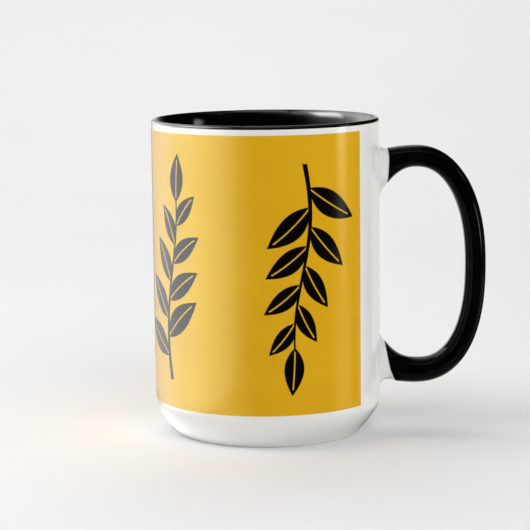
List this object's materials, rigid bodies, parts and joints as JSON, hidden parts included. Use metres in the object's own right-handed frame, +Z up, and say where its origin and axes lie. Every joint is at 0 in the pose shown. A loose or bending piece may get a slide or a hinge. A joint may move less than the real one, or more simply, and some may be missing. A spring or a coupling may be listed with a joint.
{
  "type": "coffee mug",
  "caption": "Tall straight-sided stoneware mug with a dark glazed inside and lip, a dark C-shaped strap handle with white roots, and a printed colour band round the wall.",
  "frame": {"origin": "on the axis of the body, on the plane that the foot ring stands on", "axes": "+Z up along the axis of the body, +X from the axis through the middle of the handle, Y across the handle"},
  "size_m": [0.1267, 0.0866, 0.1193],
  "materials": {
    "white_glaze": "glossy clear-over-white glaze on stoneware, bare on the foot ring",
    "black_glaze": "glossy black glaze",
    "print": "glossy golden-yellow print with dark motifs, fused into the coating",
    "slip": "fired slip, glazed over at its edge"
  },
  "bodies": {
    "root": {"mug_body": "white_glaze", "handle": "white_glaze", "liner_glaze": "black_glaze", "handle_glaze": "black_glaze", "print_wrap": "print", "upper_slip_joint": "slip", "lower_slip_joint": "slip"}
  },
  "joints": []
}
